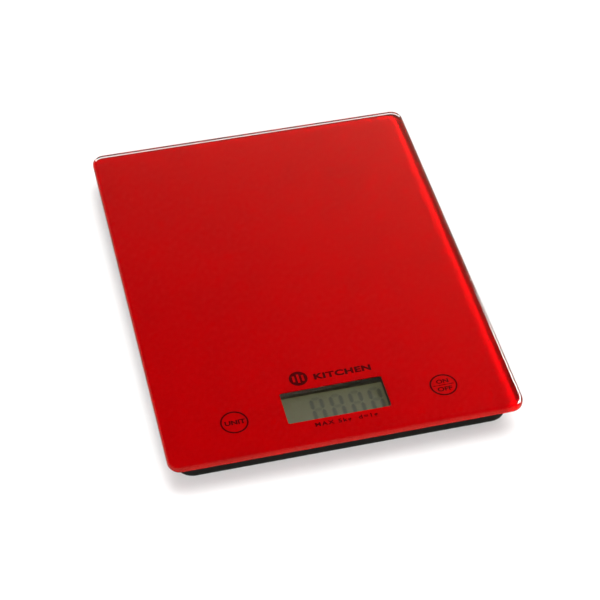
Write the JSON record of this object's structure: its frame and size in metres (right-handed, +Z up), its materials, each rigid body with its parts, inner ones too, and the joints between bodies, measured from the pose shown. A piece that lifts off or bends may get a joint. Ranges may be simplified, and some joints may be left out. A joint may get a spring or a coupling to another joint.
{
  "type": "kitchen scale",
  "caption": "Slim digital kitchen scale: a red back-printed glass platform with an LCD window and touch keys on a black base that stands on load-cell feet.",
  "frame": {"origin": "on the table, under the middle of the platform", "axes": "+Z up, +Y towards the back edge, +X to the right of a person who reads the display at the front"},
  "size_m": [0.1554, 0.201, 0.018],
  "materials": {
    "clear_glass": "polished, rounded edge",
    "red_print": "opaque enamel print on the glass's underside",
    "foam_tape": "black foam",
    "black_plastic": "fine-textured black moulding",
    "label_stock": "satin silver-grey film, blank",
    "lcd_glass": "olive-grey display, satin polariser",
    "silicone_connector": "pale silicone with carbon layers",
    "circuit_board": "green solder mask",
    "black_resin": "glossy potting drop",
    "plated_steel": "bright plated",
    "load_cell_steel": "stamped plate",
    "spring_steel": "nickel-plated strip and wire",
    "copper_foil": "copper-faced film",
    "foot_rubber": "soft matte, non-slip",
    "white_wire": "sleeved wire",
    "red_wire": "insulated wire",
    "black_wire": "insulated wire"
  },
  "bodies": {
    "scale_body": {"glass_platform": "clear_glass", "printed_backing": "red_print", "tape_front": "foam_tape", "tape_rear": "foam_tape", "tape_left": "foam_tape", "tape_right": "foam_tape", "top_deck": "black_plastic", "base_shell": "black_plastic", "rating_label": "label_stock", "lcd_front_glass": "lcd_glass", "lcd_rear_glass": "lcd_glass", "lcd_holder": "black_plastic", "lcd_gasket": "foam_tape", "zebra_strip_front": "silicone_connector", "zebra_strip_rear": "silicone_connector", "main_board": "circuit_board", "controller_chip": "black_resin", "board_screw_1": "plated_steel", "board_screw_2": "plated_steel", "key_pad_unit": "copper_foil", "key_spring_unit": "spring_steel", "key_pad_power": "copper_foil", "key_spring_power": "spring_steel", "coin_cell": "plated_steel", "battery_contact_negative": "spring_steel", "battery_contact_positive": "spring_steel", "load_cell_front_left": "load_cell_steel", "cell_clamp_front_left": "black_plastic", "clamp_screw_front_left": "plated_steel", "cell_lead_front_left": "white_wire", "load_cell_front_right": "load_cell_steel", "cell_clamp_front_right": "black_plastic", "clamp_screw_front_right": "plated_steel", "cell_lead_front_right": "white_wire", "load_cell_rear_left": "load_cell_steel", "cell_clamp_rear_left": "black_plastic", "clamp_screw_rear_left": "plated_steel", "cell_lead_rear_left": "white_wire", "load_cell_rear_right": "load_cell_steel", "cell_clamp_rear_right": "black_plastic", "clamp_screw_rear_right": "plated_steel", "cell_lead_rear_right": "white_wire", "battery_lead_positive": "red_wire", "battery_lead_negative": "black_wire", "housing_screw_1": "plated_steel", "housing_screw_2": "plated_steel", "housing_screw_3": "plated_steel", "housing_screw_4": "plated_steel", "housing_screw_5": "plated_steel", "housing_screw_6": "plated_steel"},
    "foot_front_left": {"foot_cup_front_left": "black_plastic", "foot_pad_front_left": "foot_rubber"},
    "foot_front_right": {"foot_cup_front_right": "black_plastic", "foot_pad_front_right": "foot_rubber"},
    "foot_rear_left": {"foot_cup_rear_left": "black_plastic", "foot_pad_rear_left": "foot_rubber"},
    "foot_rear_right": {"foot_cup_rear_right": "black_plastic", "foot_pad_rear_right": "foot_rubber"},
    "battery_door": {"battery_door": "black_plastic"}
  },
  "joints": [
    {"name": "foot_slide_front_left", "type": "slide", "parent": "scale_body", "child": "foot_front_left", "axis": [0, 0, 1], "range_m": [0, 0.0005], "stiffness_N_per_m": 27000, "deforming": ["load_cell_front_left"]},
    {"name": "foot_slide_front_right", "type": "slide", "parent": "scale_body", "child": "foot_front_right", "axis": [0, 0, 1], "range_m": [0, 0.0005], "stiffness_N_per_m": 27000, "deforming": ["load_cell_front_right"]},
    {"name": "foot_slide_rear_left", "type": "slide", "parent": "scale_body", "child": "foot_rear_left", "axis": [0, 0, 1], "range_m": [0, 0.0005], "stiffness_N_per_m": 27000, "deforming": ["load_cell_rear_left"]},
    {"name": "foot_slide_rear_right", "type": "slide", "parent": "scale_body", "child": "foot_rear_right", "axis": [0, 0, 1], "range_m": [0, 0.0005], "stiffness_N_per_m": 27000, "deforming": ["load_cell_rear_right"]},
    {"name": "battery_door_hinge", "type": "hinge", "parent": "scale_body", "child": "battery_door", "pos_m": [0, -0.036, 0.0015], "axis": [-1, 0, 0], "range_deg": [0, 90]}
  ]
}
